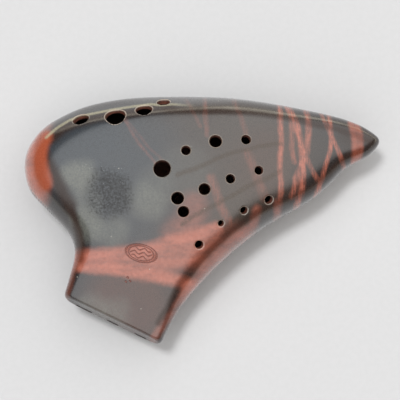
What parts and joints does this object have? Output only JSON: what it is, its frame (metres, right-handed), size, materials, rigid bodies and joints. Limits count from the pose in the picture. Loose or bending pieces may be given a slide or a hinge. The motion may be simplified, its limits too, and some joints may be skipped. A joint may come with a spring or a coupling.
{
  "type": "ocarina",
  "caption": "Multi-chamber transverse ocarina in smoke-fired clay: a rounded teardrop vessel flute with finger holes in its face, a side mouthpiece, thumb holes and sound windows in its back.",
  "frame": {"origin": "middle of the bounding box at its underside, where the flattened belly rests", "axes": "+X along the body from the blunt end to the pointed tail, +Y across the body away from the mouthpiece, +Z out of the face with the finger holes"},
  "size_m": [0.218, 0.1522, 0.0552],
  "materials": {
    "smoked_clay": "burnished, smoke-fired, semi-gloss with rust-red flashes",
    "raw_clay": "matt, unglazed red-brown clay"
  },
  "bodies": {
    "root": {"front_shell": "smoked_clay", "back_shell": "smoked_clay", "labium_low": "smoked_clay", "labium_mid": "smoked_clay", "labium_high": "smoked_clay", "divider_low_mid": "raw_clay", "divider_mid_high": "raw_clay", "windway_low": "raw_clay", "windway_mid": "raw_clay", "windway_high": "raw_clay"}
  },
  "joints": []
}
